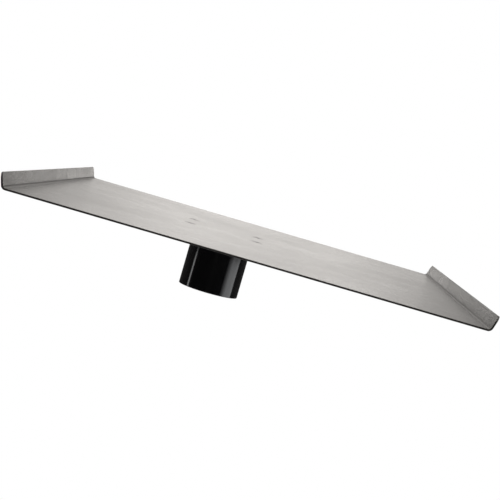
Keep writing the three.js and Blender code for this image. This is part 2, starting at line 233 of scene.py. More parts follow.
def turned(name, outline, sides, hollow=False):
    """A piece turned about Z: each (radius, height) of its outline is a ring drawn from the last one.

    The first and last rings are closed with flat ends, or, on a hollow piece, joined with each other.
    """
    radius, height = outline[0]
    clear_selection()
    bpy.ops.mesh.primitive_circle_add(vertices=sides, radius=radius, location=(0, 0, height))
    piece = started(name)
    bpy.ops.object.mode_set(mode="EDIT")
    bpy.ops.mesh.select_all(action="SELECT")
    for next_radius, next_height in outline[1:]:
        rise = (0, 0, next_height - height)
        bpy.ops.mesh.extrude_edges_move(TRANSFORM_OT_translate={"value": rise})
        grow = next_radius / radius
        bpy.ops.transform.resize(value=(grow, grow, 1), center_override=(0, 0, next_height))
        radius, height = next_radius, next_height
    bpy.ops.mesh.select_mode(type="EDGE")
    bpy.ops.mesh.select_all(action="DESELECT")
    bpy.ops.mesh.select_non_manifold()
    if hollow:
        bpy.ops.mesh.bridge_edge_loops()
    else:
        bpy.ops.mesh.fill_holes(sides=0)
    bpy.ops.mesh.select_all(action="SELECT")
    bpy.ops.mesh.normals_make_consistent(inside=False)
    bpy.ops.object.mode_set(mode="OBJECT")
    return piece


def rod(name, radius, start, end, sides):
    return turned(name, [(radius, start), (radius, end)], sides)


def hexagon(name, across_flats, start, end):
    """A hexagonal bar with a corner on +X."""
    clear_selection()
    bpy.ops.mesh.primitive_cylinder_add(
        vertices=6, radius=across_flats / math.sqrt(3), depth=end - start,
        location=(0, 0, (start + end) / 2), rotation=(0, 0, TURN / 12))
    return started(name)


def threaded_bar(name, radius, pitch, start, end, sides):
    """A right-hand thread between two heights: one pitch of its flank, screwed up the axis."""
    depth = pitch * THREAD_DEPTH_SHARE
    flank = pitch * FLANK_SHARE
    turns = math.ceil((end - start) / pitch) + 2
    clear_selection()
    bpy.ops.mesh.primitive_plane_add(size=pitch, location=(radius - depth, 0, start - pitch))
    piece = started(name)
    bpy.ops.object.mode_set(mode="EDIT")
    bpy.ops.mesh.select_mode(type="VERT")
    bpy.ops.mesh.select_all(action="SELECT")
    bpy.ops.mesh.merge(type="CENTER")
    crest, root = (0, 0, pitch * CREST_SHARE), (0, 0, pitch * ROOT_SHARE)
    for step in ((depth, 0, flank), crest, (-depth, 0, flank), root):
        bpy.ops.mesh.extrude_vertices_move(TRANSFORM_OT_translate={"value": step})
    bpy.ops.object.mode_set(mode="OBJECT")
    apply_modifier(
        piece, "SCREW", axis="Z", screw_offset=pitch, iterations=turns, steps=sides, render_steps=sides)
    bpy.ops.object.mode_set(mode="EDIT")
    bpy.ops.mesh.select_all(action="SELECT")
    bpy.ops.mesh.remove_doubles(threshold=TINY)
    for height, side in ((start, "clear_inner"), (end, "clear_outer")):
        bpy.ops.mesh.select_all(action="SELECT")
        bpy.ops.mesh.bisect(
            plane_co=(0, 0, height), plane_no=(0, 0, 1), use_fill=True, threshold=TINIEST, **{side: True})
    bpy.ops.mesh.select_all(action="SELECT")
    bpy.ops.mesh.normals_make_consistent(inside=False)
    bpy.ops.object.mode_set(mode="OBJECT")
    return piece


def soften(piece, width, segments=2, sharper_than=40):
    """Rounds the sharp edges of a piece a little, and shades it so that its flat faces stay flat."""
    if width:
        apply_modifier(
            piece, "BEVEL", width=width, segments=segments, limit_method="ANGLE",
            angle_limit=math.radians(sharper_than), use_clamp_overlap=False)
    pick(piece)
    bpy.ops.object.shade_smooth_by_angle(angle=math.radians(sharper_than))
    apply_modifier(piece, "WEIGHTED_NORMAL", keep_sharp=True, weight=100)


def lay_along_lock(piece):
    """Turns a piece that was made along Z so that it lies along the lock screw, from the boss's axis."""
    piece.rotation_euler = (-math.pi / 2, 0, 0)
    piece.location = (0, 0, middle_of("knob_cap").z)
    apply_place(piece)
    return piece


def hand_over(piece, nodes, body, finish):
    """Puts a finished piece in the place of its nodes, on its body and with its finish."""
    piece.data.materials.clear()
    piece.data.materials.append(finish)
    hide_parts(*nodes)
    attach(piece, body)


# Tray
def fold_lip(tray, side, edge_x, top):
    """Rolls a long edge of the sheet up through its bend, then draws the lip and rounds its corners."""
    select_edges(tray, lambda place: abs(place.x - edge_x) < TINY)
    bend_axis = (edge_x, 0, top + BEND_INSIDE)
    bpy.ops.mesh.spin(steps=BEND_STEPS, angle=side * BEND_TURN, center=bend_axis, axis=(0, 1, 0))
    straight = LIP_HEIGHT - BEND_REACH
    rise = (side * straight * math.sin(LIP_LEAN), 0, straight * math.cos(LIP_LEAN))
    bpy.ops.mesh.extrude_edges_move(TRANSFORM_OT_translate={"value": rise})
    bpy.ops.mesh.bevel(
        offset=SHEET_CORNER, offset_type="OFFSET", segments=CORNER_STEPS, profile=0.5, affect="VERTICES")


def countersink(screw, depth):
    """The cutter for a countersunk screw's hole, with the head's top at height 0."""
    thread = screw["thread"] / 2
    head = screw["head"] / 2
    outline = [
        (thread + FIT, -depth),
        (thread + FIT, -HEAD_LAND - (head - thread)),
        (head + FIT, -HEAD_LAND),
        (head + FIT, OVERRUN),
    ]
    return turned("countersink", outline, SCREW_SIDES)


def cut_screw_holes(piece, screw, nodes, depth):
    for node in nodes:
        cutter = countersink(screw, depth)
        cutter.location = top_of(node)
        apply_place(cutter)
        cut(piece, cutter)


BOSS_SCREWS = [f"boss_screw_{i}" for i in range(1, SCREW_COUNT + 1)]
TRAY_SCREWS = [f"tray_screw_{i}" for i in range(1, SCREW_COUNT + 1)]


def half_of_flat():
    """From the tray's middle to where its bends begin."""
    low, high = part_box("tray")
    return (high.x - low.x) / 2 - LIP_HEIGHT * math.sin(LIP_LEAN) - BEND_REACH


def make_tray():
    low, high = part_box("tray")
    middle = (low.x + high.x) / 2
    top = low.z + SHEET
    half_flat = half_of_flat()
    clear_selection()
    bpy.ops.mesh.primitive_plane_add(size=1, location=(middle, 0, top))
    bpy.context.object.scale = (2 * half_flat, high.y - low.y, 1)
    tray = started("folded_tray")
    bpy.ops.object.mode_set(mode="EDIT")
    for side in (1, -1):
        fold_lip(tray, side, middle + side * half_flat, top)
    bpy.ops.object.mode_set(mode="OBJECT")
    apply_modifier(tray, "SOLIDIFY", thickness=SHEET, offset=-1, use_even_offset=True)
    apply_modifier(
        tray, "BEVEL", width=SHEET_EDGE, segments=3, limit_method="ANGLE",
        angle_limit=math.radians(60), use_clamp_overlap=False)
    cut_screw_holes(tray, TRAY_SCREW, TRAY_SCREWS, SHEET + OVERRUN)
    soften(tray, 0)
    return tray


# Flange, boss, bushing and stop
def make_flange():
    low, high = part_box("flange_plate")
    radius = (high.x - low.x) / 2
    flange = rod("round_flange", radius, low.z, high.z, PLATE_SIDES)
    soften(flange, FLANGE_EDGE, segments=3)
    cut_screw_holes(flange, BOSS_SCREW, BOSS_SCREWS, high.z - low.z + OVERRUN)
    cut_screw_holes(flange, TRAY_SCREW, TRAY_SCREWS, high.z - low.z + SHEET + 2 * OVERRUN)
    soften(flange, 0)
    return flange


def make_boss():
    low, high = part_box("boss_body")
    radius = (high.x - low.x) / 2
    bore = BUSHING_RADIUS + FIT
    bore_end = high.z - BOSS_WEB
    seat_radius = size_of("socket_bushing").x / 2 + FIT
    seat_height = SHOULDER_HEIGHT + 2 * FIT
    mouth_edge = arc((radius - BOSS_EDGE, BOSS_EDGE), BOSS_EDGE, -math.pi / 2, 0, BOSS_EDGE_STEPS)
    outline = [
        (bore, bore_end),
        (bore, seat_height),
        (seat_radius, seat_height),
        (seat_radius, low.z),
        *mouth_edge,
        (radius, high.z),
    ]
    boss = turned("turned_boss", outline, BOSS_SIDES)
    soften(boss, BREAK)
    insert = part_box("lock_insert")
    insert_radius = size_of("lock_insert").x / 2 + FIT
    spot_face = insert[1].y - INSERT_HEAD_THICKNESS - FIT
    for cutter_radius, start in ((INSERT_RADIUS + FIT, SOCKET_RADIUS), (insert_radius, spot_face)):
        cutter = rod("cutter", cutter_radius, start, radius + OVERRUN, KNOB_SIDES)
        cut(boss, lay_along_lock(cutter))
    for node in BOSS_SCREWS:
        place = middle_of(node)
        place.z = 0
        tap_radius = BOSS_SCREW["thread"] / 2 + FIT
        tap = rod("tap", tap_radius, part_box(node)[0].z - BREAK, high.z + OVERRUN, TAP_SIDES)
        tap.location = place
        apply_place(tap)
        cut(boss, tap)
    soften(boss, 0)
    return boss


def make_bushing():
    low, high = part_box("socket_bushing")
    shoulder = (high.x - low.x) / 2
    outline = [
        (SOCKET_RADIUS + LEAD_IN, low.z),
        (shoulder, low.z),
        (shoulder, low.z + SHOULDER_HEIGHT),
        (BUSHING_RADIUS, low.z + SHOULDER_HEIGHT),
        (BUSHING_RADIUS, high.z),
        (SOCKET_RADIUS, high.z),
        (SOCKET_RADIUS, low.z + LEAD_IN),
    ]
    bushing = turned("steel_bushing", outline, PLATE_SIDES, hollow=True)
    soften(bushing, BREAK)
    cutter = rod("cutter", LOCK_RADIUS + FIT, 0, BUSHING_RADIUS + OVERRUN, SCREW_SIDES)
    cut(bushing, lay_along_lock(cutter))
    soften(bushing, 0)
    return bushing


def make_stop():
    low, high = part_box("stop_pad")
    stop = rod("nylon_stop", (high.x - low.x) / 2, low.z, high.z, KNOB_SIDES)
    soften(stop, 2 * BREAK, segments=3)
    return stop


# Fasteners
def make_screw(name, screw, pitch, node):
    """A countersunk screw with its hexagon socket, plain neck and thread. Its head's top is at height 0."""
    length = size_of(node).z
    thread = screw["thread"] / 2
    head = screw["head"] / 2
    neck = -HEAD_LAND - (head - thread)
    thread_start = neck - pitch
    outline = [
        (thread - pitch / 2, thread_start - pitch / 2),
        (thread, thread_start),
        (thread, neck),
        (head, -HEAD_LAND),
        (head, -BREAK),
        (head - BREAK, 0),
    ]
    piece = turned(name, outline, SCREW_SIDES)
    core = threaded_bar("thread", thread, pitch, -length, thread_start, TAP_SIDES)
    outside = thread + pitch
    point = [(thread - pitch, -length), (outside, -length + 2 * pitch), (outside, thread_start)]
    combine(core, turned("point", point, SCREW_SIDES), "INTERSECT")
    combine(piece, core, "UNION")
    cut(piece, hexagon("socket", screw["hexagon"], -screw["depth"], OVERRUN))
    soften(piece, 0, sharper_than=30)
    return piece


def make_washer():
    size = size_of("tray_washer_1")
    hole = TRAY_SCREW["thread"] / 2 + FIT
    outline = [(hole, 0), (size.x / 2, 0), (size.x / 2, size.z), (hole, size.z)]
    washer = turned("flat_washer", outline, SCREW_SIDES, hollow=True)
    soften(washer, BREAK / 2)
    return washer


def make_nut():
    """A hexagon nut with its crowned corners and the collar that holds its nylon ring. Its top is at 0."""
    size = size_of("tray_nut_1")
    flats = size.y
    corner = flats / math.sqrt(3)
    bottom = -NUT_HEX_HEIGHT
    nut = hexagon("lock_nut", flats, bottom, 0)
    crown = [
        (corner - 2 * NUT_CROWN, bottom),
        (corner, bottom + NUT_CROWN),
        (corner, -NUT_CROWN),
        (corner - 2 * NUT_CROWN, 0),
    ]
    combine(nut, turned("crown", crown, KNOB_SIDES), "INTERSECT")
    rim = NUT_COLLAR_RADIUS
    collar = [(rim - NUT_CROWN, -size.z), (rim, -size.z + NUT_CROWN), (rim, bottom + OVERRUN)]
    combine(nut, turned("collar", collar, KNOB_SIDES), "UNION")
    cut(nut, rod("bore", TRAY_SCREW["thread"] / 2 + FIT, -size.z - OVERRUN, OVERRUN, BORE_SIDES))
    cut(nut, rod("ring_seat", rim - NYLON_LIP, -size.z - OVERRUN, bottom - BREAK, SCREW_SIDES))
    soften(nut, 0, sharper_than=25)
    return nut


def make_nut_ring():
    """The nylon ring that grips the screw in a lock nut's collar."""
    bottom = BREAK - size_of("tray_nut_1").z
    top = -NUT_HEX_HEIGHT - 2 * BREAK
    hole = TRAY_SCREW["thread"] / 2 + BREAK / 2
    rim = NUT_COLLAR_RADIUS - NYLON_LIP - BREAK / 4
    outline = [(hole, bottom), (rim, bottom), (rim, top), (hole, top)]
    ring = turned("lock_nut_ring", outline, SCREW_SIDES, hollow=True)
    soften(ring, BREAK / 2)
    return ring


# Lock screw and its knob, made along Z from the boss's axis
def reach(node):
    """Where a node of the lock starts and ends along the lock screw, and its radius."""
    low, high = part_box(node)
    return low.y, high.y, (high.x - low.x) / 2


def make_insert():
    start, end, radius = reach("lock_insert")
    bore = LOCK_RADIUS + FIT
    seat = end - INSERT_HEAD_THICKNESS
    outline = [
        (bore, start),
        (INSERT_RADIUS, start),
        (INSERT_RADIUS, seat),
        (radius, seat),
        (radius, end - 2 * BREAK),
        (radius - 2 * BREAK, end),
        (bore + 2 * BREAK, end),
        (bore, end - 2 * BREAK),
    ]
    insert = turned("threaded_insert", outline, KNOB_SIDES, hollow=True)
    soften(insert, BREAK / 2)
    return lay_along_lock(insert)


def make_pad():
    start, end, radius = reach("thrust_pad")
    neck = POINT_NECK_RADIUS + FIT
    pocket = POINT_HEAD_RADIUS + FIT
    outline = [
        (pocket, start + PAD_FACE),
        (pocket, end - PAD_LIP),
        (neck, end - PAD_LIP),
        (neck, end),
        (radius, end),
        (radius, start + PAD_EDGE),
        (radius - PAD_EDGE, start),
    ]
    pad = turned("brass_pad", outline, SCREW_SIDES)
    soften(pad, BREAK / 2)
    return lay_along_lock(pad)


def make_lock_screw():
    start, end, _ = reach("lock_screw")
    shoulder = reach("thrust_pad")[1] + SCREW_SHOULDER_GAP
    grip_end = reach("knob_grip")[0] + LOCK_PITCH
    outside = LOCK_RADIUS + LOCK_PITCH
    screw = threaded_bar("clamp_screw", LOCK_RADIUS, LOCK_PITCH, shoulder, grip_end, BORE_SIDES)
    envelope = [
        (LOCK_RADIUS - LOCK_PITCH, shoulder),
        (outside, shoulder + 2 * LOCK_PITCH),
        (outside, grip_end),
    ]
    combine(screw, turned("envelope", envelope, KNOB_SIDES), "INTERSECT")
    point = [
        (POINT_HEAD_RADIUS - PAD_EDGE, start),
        (POINT_HEAD_RADIUS, start + PAD_EDGE),
        (POINT_HEAD_RADIUS, start + POINT_HEAD_LENGTH),
        (POINT_NECK_RADIUS, start + POINT_HEAD_LENGTH),
        (POINT_NECK_RADIUS, shoulder + LOCK_PITCH),
    ]
    combine(screw, turned("point", point, SCREW_SIDES), "UNION")
    combine(screw, rod("shank", LOCK_RADIUS, grip_end - LOCK_PITCH / 2, end, SCREW_SIDES), "UNION")
    soften(screw, 0, sharper_than=30)
    return lay_along_lock(screw)


def make_grip():
    start, end, _ = reach("knob_grip")
    radius = middle_of("knob_cap").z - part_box("knob_grip")[0].z
    grip_start = start + KNOB_HUB_LENGTH
    clear_selection()
    bpy.ops.mesh.primitive_circle_add(
        vertices=KNOB_LOBES * LOBE_SIDES, radius=radius, fill_type="NGON", location=(0, 0, grip_start))
    grip = started("lobed_grip")
    for vertex in grip.data.vertices:
        angle = math.atan2(vertex.co.x, vertex.co.y)
        narrow = 1 - KNOB_LOBE_DEPTH * (1 - math.cos(KNOB_LOBES * angle)) / 2 / radius
        vertex.co.x *= narrow
        vertex.co.y *= narrow
    bpy.ops.object.mode_set(mode="EDIT")
    bpy.ops.mesh.select_all(action="SELECT")
    length = end - grip_start
    bpy.ops.mesh.extrude_region_move(TRANSFORM_OT_translate={"value": (0, 0, length)})
    bpy.ops.mesh.select_all(action="SELECT")
    bpy.ops.mesh.normals_make_consistent(inside=False)
    for level in (grip_start, end):
        select_edges(grip, lambda place: abs(place.z - level) < TINY)
        bpy.ops.mesh.bevel(
            offset=KNOB_EDGE, offset_type="OFFSET", segments=6, profile=0.5, affect="EDGES")
    bpy.ops.object.mode_set(mode="OBJECT")
    edge_centre = (KNOB_HUB_RADIUS - KNOB_HUB_EDGE, start + KNOB_HUB_EDGE)
    hub = arc(edge_centre, KNOB_HUB_EDGE, -math.pi / 2, 0, KNOB_HUB_EDGE_STEPS)
    hub.append((KNOB_HUB_RADIUS, grip_start + KNOB_EDGE))
    combine(grip, turned("hub", hub, KNOB_SIDES), "UNION")
    cut(grip, rod("bore", KNOB_INSERT_RADIUS + FIT, start - OVERRUN, end, SCREW_SIDES))
    cap_radius = size_of("knob_cap").x / 2 + FIT
    recess = [
        (cap_radius, end - CAP_PLATE - FIT),
        (cap_radius, end - BREAK),
        (cap_radius + OVERRUN + BREAK, end + OVERRUN),
    ]
    cut(grip, turned("recess", recess, KNOB_SIDES))
    soften(grip, 0, sharper_than=35)
    return lay_along_lock(grip)


def make_knob_insert():
    start, end, radius = reach("knob_insert")
    bore = LOCK_RADIUS + BREAK
    outline = [(bore, start), (radius, start), (radius, end), (bore, end)]
    insert = turned("brass_insert", outline, SCREW_SIDES, hollow=True)
    soften(insert, BREAK)
    return lay_along_lock(insert)


def make_cap():
    start, end, radius = reach("knob_cap")
    seat = end - CAP_DOME - CAP_PLATE
    sphere = (radius ** 2 + CAP_DOME ** 2) / (2 * CAP_DOME)
    spread = math.asin(radius / sphere)
    top = math.pi / 2

    # One step short of the top, where a small flat closes it
    short = spread / CAP_DOME_STEPS
    dome = arc((0, end - sphere), sphere, top - spread, top - short, CAP_DOME_STEPS - 1)
    outline = [(CAP_PLUG_RADIUS, start), (CAP_PLUG_RADIUS, seat), (radius, seat), *dome]
    cap = turned("end_cap", outline, KNOB_SIDES)
    soften(cap, BREAK, segments=3, sharper_than=50)
    return lay_along_lock(cap)


# Finishes
def add_node(tree, kind, inputs=None, **settings):
    """Adds a shader node. An input is given a value, or the socket that it is linked to."""
    made = tree.nodes.new("ShaderNode" + kind)
    for name, value in settings.items():
        setattr(made, name, value)
    for name, value in (inputs or {}).items():
        if isinstance(value, bpy.types.NodeSocket):
            tree.links.new(value, made.inputs[name])
        else:
            made.inputs[name].default_value = value
    return made


def calculated(tree, operation, *values):
    return add_node(tree, "Math", dict(enumerate(values)), operation=operation).outputs[0]


def length_of(tree, **parts):
    """The length of the vector that has these parts."""
    vector = add_node(tree, "CombineXYZ", parts).outputs["Vector"]
    return add_node(tree, "VectorMath", {0: vector}, operation="LENGTH").outputs["Value"]


def spread_between(tree, factor, low, high, from_low=0.3, from_high=0.7):
    """Spreads a factor over low to high. A grain runs from about 0.3 to 0.7."""
    inputs = {"Value": factor, "From Min": from_low, "From Max": from_high, "To Min": low, "To Max": high}
    return add_node(tree, "MapRange", inputs).outputs["Result"]


def blended(tree, factor, one, other):
    """A blend of two colours, which are inputs 6 and 7 of the Mix node and its output 2."""
    return add_node(tree, "Mix", {0: factor, 6: one, 7: other}, data_type="RGBA").outputs[2]


def tint_between(tree, factor, dark, light):
    return blended(tree, factor, (*dark, 1), (*light, 1))


def grain(tree, place, scale, detail=2, rough=0.5):
    """Fine or coarse clouds, by how many of them fit in a metre."""
    inputs = {"Vector": place, "Scale": scale, "Detail": detail, "Roughness": rough}
    return add_node(tree, "TexNoise", inputs, noise_type="FBM").outputs["Fac"]


def raise_surface(tree, shader, height, distance, strength):
    bump = add_node(tree, "Bump", {"Height": height, "Distance": distance, "Strength": strength})
    tree.links.new(bump.outputs["Normal"], shader.inputs["Normal"])


def new_material(name, **inputs):
    """A material, its tree and its Principled shader, with these inputs of the shader set."""
    material = bpy.data.materials.new(name)
    material.use_nodes = True
    tree = material.node_tree
    shader = tree.nodes["Principled BSDF"]
    for key, value in inputs.items():
        shader.inputs[key.replace("_", " ").title().replace("Ior", "IOR")].default_value = value
    return material, tree, shader


def own_place(tree):
    """The piece's own coordinates."""
    return add_node(tree, "TexCoord").outputs["Object"]


def plain_finish(name, tints, clouds, relief, depth, strength=0.5, dulls=None, **inputs):
    """A finish with faint clouds in its tint and a fine relief.

    Clouds, relief and dulls are grains: how many in a metre, their detail and their roughness. Dulls also
    has the shader's least and greatest roughness, which the finish otherwise has as one of its inputs.
    """
    material, tree, shader = new_material(name, **inputs)
    place = own_place(tree)
    tree.links.new(tint_between(tree, grain(tree, place, *clouds), *tints), shader.inputs["Base Color"])
    if dulls:
        *pattern, least, greatest = dulls
        dulled = spread_between(tree, grain(tree, place, *pattern), least, greatest)
        tree.links.new(dulled, shader.inputs["Roughness"])
    raise_surface(tree, shader, grain(tree, place, *relief), depth, strength)
    return material


# The tray's powder coat. A grain is how many in a metre, its detail and its roughness.
WRINKLES = (1000, 2, 0.6)
WRINKLE_DEPTH = 0.08 * MM
WRINKLE_STRENGTH = 0.6
WRINKLE_TINTS = ((0.019, 0.018, 0.017), (0.049, 0.047, 0.044))
WRINKLE_ROUGHNESS = (0.33, 0.25)  # in the hollows and on the ridges
COAT_CLOUDS = (14, 4, 0.6)
CLOUD_SHADES = (0.88, 1.12)
CLOUD_ROUGHNESS = (-0.02, 0.02)
CREASE_OUT = 1.0 * MM  # the dullest line, from where the bend begins
CREASE_UP = 0.2 * MM
CREASE_DULLING = (0.18, 0.0, 1.2 * MM, 2.2 * MM)  # at the crease and away from it, then the two distances
WEAR = (120, 3)
WEAR_SHARES = (0.0, 0.6, 0.5, 0.62)  # how much of the paint has gone, then where in the grain
WEAR_START = 0.5 * MM  # below the lip's top
WEAR_END = 0.1 * MM
BARE_STEEL = (0.16, 0.16, 0.16, 1)


def wrinkle_coat():
    """A fine-wrinkle powder coat with faint clouds, dull where it was folded and worn on the lips' tops."""
    material, tree, shader = new_material("wrinkle_coat")
    place = own_place(tree)
    low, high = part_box("tray")
    parts = add_node(tree, "SeparateXYZ", {"Vector": place}).outputs
    wrinkles = grain(tree, place, *WRINKLES)
    clouds = grain(tree, place, *COAT_CLOUDS)

    tint = tint_between(tree, spread_between(tree, wrinkles, 0, 1), *WRINKLE_TINTS)
    shade = spread_between(tree, clouds, *CLOUD_SHADES)
    shaded = add_node(tree, "HueSaturation", {"Value": shade, "Color": tint}).outputs["Color"]
    lip_top = spread_between(tree, parts["Z"], 0, 1, high.z - WEAR_START, high.z - WEAR_END)
    wear = spread_between(tree, grain(tree, place, *WEAR), *WEAR_SHARES)
    worn = calculated(tree, "MULTIPLY", lip_top, wear)
    tree.links.new(blended(tree, worn, shaded, BARE_STEEL), shader.inputs["Base Color"])

    off_middle = calculated(tree, "SUBTRACT", parts["X"], (low.x + high.x) / 2)
    from_middle = calculated(tree, "ABSOLUTE", off_middle)
    from_crease = length_of(
        tree,
        X=calculated(tree, "SUBTRACT", from_middle, half_of_flat() + CREASE_OUT),
        Y=calculated(tree, "SUBTRACT", parts["Z"], low.z + SHEET + CREASE_UP))
    creased = spread_between(tree, from_crease, *CREASE_DULLING)
    wrinkled = spread_between(tree, wrinkles, *WRINKLE_ROUGHNESS)
    clouded = spread_between(tree, clouds, *CLOUD_ROUGHNESS)
    rough = calculated(tree, "ADD", calculated(tree, "ADD", wrinkled, creased), clouded)
    tree.links.new(rough, shader.inputs["Roughness"])
    raise_surface(tree, shader, wrinkles, WRINKLE_DEPTH, WRINKLE_STRENGTH)
    return material


# Bare metal: its tool marks, the clouds in its tint, and how far the marks change its roughness
TOOL_MARKS = (2600, 2, 0.6)
TOOL_MARK_DEPTH = 0.006 * MM
TOOL_MARK_STRENGTH = 0.5
METAL_CLOUDS = (90, 3)
BRIGHT_SHARE = 0.8
DULL_SHARE = 1.25


def turned_metal(name, tints, rough, centre=(0, 0, 0), turn=(0, 0, 0)):
    """Bare metal with the fine rings of a lathe tool round one axis."""
    material, tree, shader = new_material(name, metallic=1.0)
    place = own_place(tree)
    mapping = {"Vector": place, "Location": centre, "Rotation": turn}
    own = add_node(tree, "Mapping", mapping).outputs["Vector"]
    parts = add_node(tree, "SeparateXYZ", {"Vector": own}).outputs
    radius = length_of(tree, X=parts["X"], Y=parts["Y"])
    rings = add_node(tree, "CombineXYZ", {"X": radius, "Z": parts["Z"]}).outputs["Vector"]
    marks = grain(tree, rings, *TOOL_MARKS)
    clouds = grain(tree, place, *METAL_CLOUDS)
    tree.links.new(tint_between(tree, clouds, *tints), shader.inputs["Base Color"])
    gloss = spread_between(tree, marks, rough * BRIGHT_SHARE, rough * DULL_SHARE)
    tree.links.new(gloss, shader.inputs["Roughness"])
    raise_surface(tree, shader, marks, TOOL_MARK_DEPTH, TOOL_MARK_STRENGTH)
    return material


# Camera, studio and stage
CAMERA_LENS = 101.4
CAMERA_SENSOR = 36
CAMERA_YAW = math.radians(0.465)
CAMERA_PITCH = math.radians(-4.094)
CAMERA_ROLL = math.radians(16.216)
CAMERA_FROM_TRAY = Vector((9.38, -1284.7, 81.4)) * MM


def set_camera():
    """The photograph's view: low over the tray, from its end, with the whole picture rolled."""
    centre = middle_of("tray")
    centre.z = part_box("tray")[0].z + SHEET
    data = bpy.data.cameras.new("camera")
    data.lens = CAMERA_LENS
    data.sensor_width = CAMERA_SENSOR
    camera = bpy.data.objects.new("camera", data)
    bpy.context.scene.collection.objects.link(camera)
    turn = Matrix.Rotation(CAMERA_YAW, 4, "Z")
    tilt = Matrix.Rotation(math.pi / 2 + CAMERA_PITCH, 4, "X")
    roll = Matrix.Rotation(CAMERA_ROLL, 4, "Z")
    camera.matrix_world = Matrix.Translation(centre + CAMERA_FROM_TRAY) @ turn @ tilt @ roll
    bpy.context.scene.camera = camera


# The studio's light by direction: X to the right, Y away from the camera and Z up. Each band has its
# level at one end and at the other, then the two places.

# By Y
BEHIND = (0.08, 1.0, -0.5, 0.45)

# By Z
HORIZON = (0.04, 1.0, -0.07, -0.03)
UNDERGLOW = (0.05, 0.0, -0.05, -0.01)
LOW_GLOW = (1.75, 0.4, 0.015, 0.05)
HIGH_SHARE = (0.0, 1.0, 0.03, 0.09)
CEILING = (0.0, 1.25, 0.2, 0.9)

# By X, counted from the middle to either side
LOW_CENTRE = (2.85, 0.0, 0.065, 0.205)
HIGH_CENTRE = (1.58, 0.0, 0.06, 0.25)
HIGH_WINGS = (0.0, 0.8, 0.55, 0.8)

# By X, from left to right
LOW_SIDES = (0.54, 1.0, -0.17, 0.15)
HIGH_SIDES = (1.3, 0.7, -0.2, 0.2)

STUDIO_TINT = (1, 0.965, 0.93, 1)
WHITE = (1, 1, 1, 1)


def set_world():
    """White to the camera. The studio round it is bright behind and above, dark in front and below."""
    world = bpy.data.worlds.new("studio")
    world.use_nodes = True
    tree = world.node_tree
    tree.nodes.clear()
    direction = add_node(tree, "TexCoord").outputs["Generated"]
    parts = add_node(tree, "SeparateXYZ", {"Vector": direction}).outputs
    beside = calculated(tree, "ABSOLUTE", parts["X"])

    low_centre = spread_between(tree, beside, *LOW_CENTRE)
    low_sides = spread_between(tree, parts["X"], *LOW_SIDES)
    low_glow = spread_between(tree, parts["Z"], *LOW_GLOW)
    low = calculated(tree, "MULTIPLY", calculated(tree, "MULTIPLY", low_centre, low_sides), low_glow)

    high_centre = spread_between(tree, beside, *HIGH_CENTRE)
    high_wings = spread_between(tree, beside, *HIGH_WINGS)
    high_sides = spread_between(tree, parts["X"], *HIGH_SIDES)
    high = calculated(
        tree, "MULTIPLY", calculated(tree, "MAXIMUM", high_centre, high_wings), high_sides)

    high_share = spread_between(tree, parts["Z"], *HIGH_SHARE)
    both = add_node(tree, "Mix", {0: high_share, 2: low, 3: high}).outputs[0]
    above = calculated(tree, "MULTIPLY", both, spread_between(tree, parts["Z"], *HORIZON))
    under = spread_between(tree, parts["Z"], *UNDERGLOW)
    front = calculated(tree, "MAXIMUM", above, under)
    wall = calculated(tree, "MULTIPLY", spread_between(tree, parts["Y"], *BEHIND), front)
    ceiling = spread_between(tree, parts["Z"], *CEILING)
    level = calculated(tree, "MAXIMUM", wall, ceiling)

    studio = add_node(tree, "Background", {"Color": STUDIO_TINT, "Strength": level}).outputs[0]
    white = add_node(tree, "Background", {"Color": WHITE, "Strength": 1.0}).outputs[0]
    rays = add_node(tree, "LightPath").outputs
    seen = calculated(tree, "MAXIMUM", rays["Is Camera Ray"], rays["Is Transmission Ray"])
    mix = add_node(tree, "MixShader", {0: seen, 1: studio, 2: white}).outputs[0]
    add_node(tree, "OutputWorld", {"Surface": mix})
    bpy.context.scene.world = world


# The lamps stand beside the table. Azimuths are counted from -Y towards +X, in degrees.
LEFT_STRIP = {"azimuth": -83.9, "distance": 1.0, "low": -0.45, "high": -0.05, "width": 0.12, "radiance": 3.0}
RIGHT_BOX = {"distance": 1.2, "low": -0.55, "high": -0.06, "tint": (0.97, 0.98, 1)}
RIGHT_BOX_PARTS = (  # each with the azimuths of its two sides and its radiance
    ("right_box", 68, 100.4, 2.55),
    ("right_box_falloff", 62, 68, 1.9),
    ("right_box_side", 56, 62, 1.1),
    ("right_box_edge", 51, 56, 0.45),
)


def add_lamp(name, azimuth, distance, low, high, width, radiance, tint=(1, 1, 1)):
    """A soft box that faces the boss's axis, between two heights."""
    angle = math.radians(azimuth)
    data = bpy.data.lights.new(name, "AREA")
    data.shape = "RECTANGLE"
    data.size = width
    data.size_y = high - low
    data.energy = radiance * math.pi * width * (high - low)
    data.color = tint
    lamp = bpy.data.objects.new(name, data)
    bpy.context.scene.collection.objects.link(lamp)
    lamp.location = (distance * math.sin(angle), -distance * math.cos(angle), (low + high) / 2)
    lamp.rotation_euler = (math.pi / 2, 0, angle)
    lamp.visible_camera = False


def set_lamps():
    add_lamp("left_strip", **LEFT_STRIP)
    for name, start, end, radiance in RIGHT_BOX_PARTS:
        width = 2 * RIGHT_BOX["distance"] * math.tan(math.radians(end - start) / 2)
        add_lamp(name, azimuth=(start + end) / 2, width=width, radiance=radiance, **RIGHT_BOX)


FLOOR_SIZE = 4
FLOOR_LEVEL = -1
FLOOR_TINT = (0.7, 0.7, 0.7, 1)
FLOOR_ROUGHNESS = 0.9
FLOOR_GLOW = 0.42


